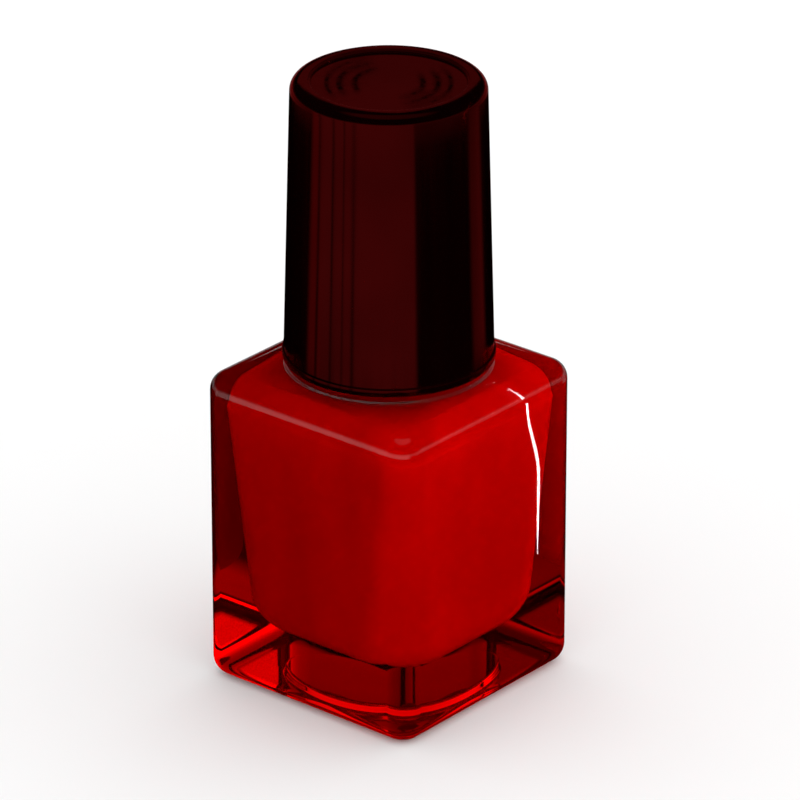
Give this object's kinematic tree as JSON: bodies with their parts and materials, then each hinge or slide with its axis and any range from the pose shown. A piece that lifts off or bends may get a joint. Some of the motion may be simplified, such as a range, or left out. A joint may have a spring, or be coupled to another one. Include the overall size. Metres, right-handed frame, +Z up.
{
  "type": "nail polish bottle",
  "caption": "Square thick-walled nail polish bottle of red glass with red lacquer, a tall tapered dark maroon screw cap, and the brush inside it.",
  "frame": {"origin": "middle of the glass base, on the surface the bottle stands on", "axes": "+Z up along the cap's screw axis, flat glass faces square to +X and +Y"},
  "size_m": [0.0318, 0.0318, 0.0764],
  "materials": {
    "red_glass": "gloss",
    "red_lacquer": "gloss",
    "maroon_plastic": "gloss",
    "black_plastic": "satin",
    "liner_foam": "matte",
    "nylon_bristle": "satin",
    "steel": "polished",
    "label_paper": "matte"
  },
  "bodies": {
    "bottle": {"glass_bottle": "red_glass", "lacquer": "red_lacquer", "base_label": "label_paper"},
    "ball_a": {"mixing_ball_a": "steel"},
    "ball_b": {"mixing_ball_b": "steel"},
    "carried_lacquer": {"lacquer_on_brush": "red_lacquer"},
    "liner": {"seal_liner": "liner_foam"},
    "cap": {"overcap": "maroon_plastic", "inner_cap": "black_plastic", "brush_stem": "black_plastic", "bristle_root": "nylon_bristle", "bristle_staple": "steel"},
    "bristles": {"bristle_tuft": "nylon_bristle"}
  },
  "joints": [
    {"name": "cap_lift_out", "type": "slide", "parent": "bottle", "child": "carried_lacquer", "axis": [0, 0, 1], "range_m": [0, 0.058], "deforming": ["lacquer"]},
    {"name": "cap_thread_rise", "type": "slide", "parent": "carried_lacquer", "child": "liner", "axis": [0, 0, 1], "range_m": [0, 0.0032]},
    {"name": "cap_unscrew", "type": "hinge", "parent": "liner", "child": "cap", "pos_m": [0, 0, 0.052], "axis": [0, 0, 1], "range_deg": [0, 540]},
    {"name": "bristle_flex", "type": "hinge", "parent": "cap", "child": "bristles", "pos_m": [0, 0, 0.0235], "axis": [1, 0, 0], "range_deg": [-15, 15], "stiffness_Nm_per_rad": 0.002, "deforming": ["lacquer_on_brush"]},
    {"name": "ball_a_rattle", "type": "slide", "parent": "bottle", "child": "ball_a", "axis": [0, 0, 1], "range_m": [0, 0.024]},
    {"name": "ball_b_rattle", "type": "slide", "parent": "bottle", "child": "ball_b", "axis": [0, 0, 1], "range_m": [0, 0.024]}
  ],
  "couplings": [
    {"joint": "cap_thread_rise", "follows": "cap_unscrew", "m_per_rad": 0.00033688}
  ]
}
